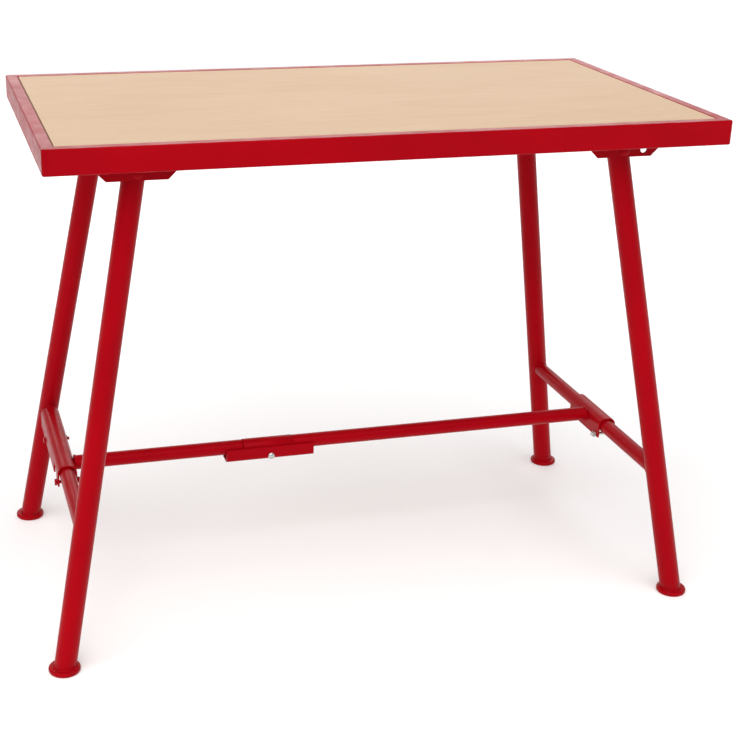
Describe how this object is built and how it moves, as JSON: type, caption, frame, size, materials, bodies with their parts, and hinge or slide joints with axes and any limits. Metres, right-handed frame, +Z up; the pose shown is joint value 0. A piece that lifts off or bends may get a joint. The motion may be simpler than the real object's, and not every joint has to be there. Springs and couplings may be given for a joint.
{
  "type": "folding work bench",
  "caption": "Portable folding work bench: plywood board in a steel tube frame on two pairs of splayed tube legs, braced by cross rails and a hinged stretcher.",
  "frame": {"origin": "on the floor, under the middle of the worktop", "axes": "+X along the bench's length, +Y across it to the back long side, +Z up"},
  "size_m": [1.1474, 0.6154, 0.865],
  "materials": {
    "red_paint": "gloss enamel over steel",
    "zinc_steel": "zinc plated",
    "birch_board": "sanded birch plywood, clear sealed"
  },
  "bodies": {
    "table": {"frame_front_rail": "red_paint", "frame_back_rail": "red_paint", "frame_left_rail": "red_paint", "frame_right_rail": "red_paint", "worktop_board": "birch_board", "front_ledge": "red_paint", "back_ledge": "red_paint", "left_ledge": "red_paint", "right_ledge": "red_paint", "left_cross_member": "red_paint", "right_cross_member": "red_paint", "board_screw_1": "zinc_steel", "board_screw_2": "zinc_steel", "board_screw_3": "zinc_steel", "board_screw_4": "zinc_steel", "front_left_leg_bracket": "red_paint", "front_left_pivot_bolt": "red_paint", "front_left_pivot_nut": "red_paint", "back_left_leg_bracket": "red_paint", "back_left_pivot_bolt": "red_paint", "back_left_pivot_nut": "red_paint", "front_right_leg_bracket": "red_paint", "front_right_pivot_bolt": "red_paint", "front_right_pivot_nut": "red_paint", "back_right_leg_bracket": "red_paint", "back_right_pivot_bolt": "red_paint", "back_right_pivot_nut": "red_paint"},
    "left_legs": {"front_left_leg": "red_paint", "front_left_foot": "red_paint", "front_left_pivot_bush": "zinc_steel", "back_left_leg": "red_paint", "back_left_foot": "red_paint", "back_left_pivot_bush": "zinc_steel", "left_cross_rail": "red_paint"},
    "right_legs": {"front_right_leg": "red_paint", "front_right_foot": "red_paint", "front_right_pivot_bush": "zinc_steel", "back_right_leg": "red_paint", "back_right_foot": "red_paint", "back_right_pivot_bush": "zinc_steel", "right_cross_rail": "red_paint"},
    "left_stretcher": {"left_stretcher_tube": "red_paint", "left_saddle": "red_paint", "left_keeper_bolt_1": "red_paint", "left_keeper_nut_1": "red_paint", "left_keeper_bolt_2": "red_paint", "left_keeper_nut_2": "red_paint"},
    "right_stretcher": {"right_stretcher_tube": "red_paint", "right_saddle": "red_paint", "right_keeper_bolt_1": "zinc_steel", "right_keeper_nut_1": "zinc_steel", "right_keeper_bolt_2": "zinc_steel", "right_keeper_nut_2": "zinc_steel", "knee_plug": "red_paint", "knee_channel": "red_paint", "knee_pin": "zinc_steel"}
  },
  "joints": [
    {"name": "left_legs_fold", "type": "hinge", "parent": "table", "child": "left_legs", "pos_m": [-0.40162, 0, 0.806], "axis": [0, -1, 0], "range_deg": [0, 99.5]},
    {"name": "right_legs_fold", "type": "hinge", "parent": "table", "child": "right_legs", "pos_m": [0.40162, 0, 0.806], "axis": [0, 1, 0], "range_deg": [0, 88]},
    {"name": "left_stretcher_swing", "type": "hinge", "parent": "left_legs", "child": "left_stretcher", "pos_m": [-0.50529, 0, 0.234], "axis": [0, -1, 0], "range_deg": [0, 81.4]},
    {"name": "right_stretcher_swing", "type": "hinge", "parent": "right_legs", "child": "right_stretcher", "pos_m": [0.50529, 0, 0.234], "axis": [0, -1, 0], "range_deg": [0, 268]}
  ],
  "couplings": [
    {"joint": "left_stretcher_swing", "follows": "left_legs_fold", "ratio": 0.818},
    {"joint": "right_stretcher_swing", "follows": "right_legs_fold", "ratio": 3.045}
  ]
}
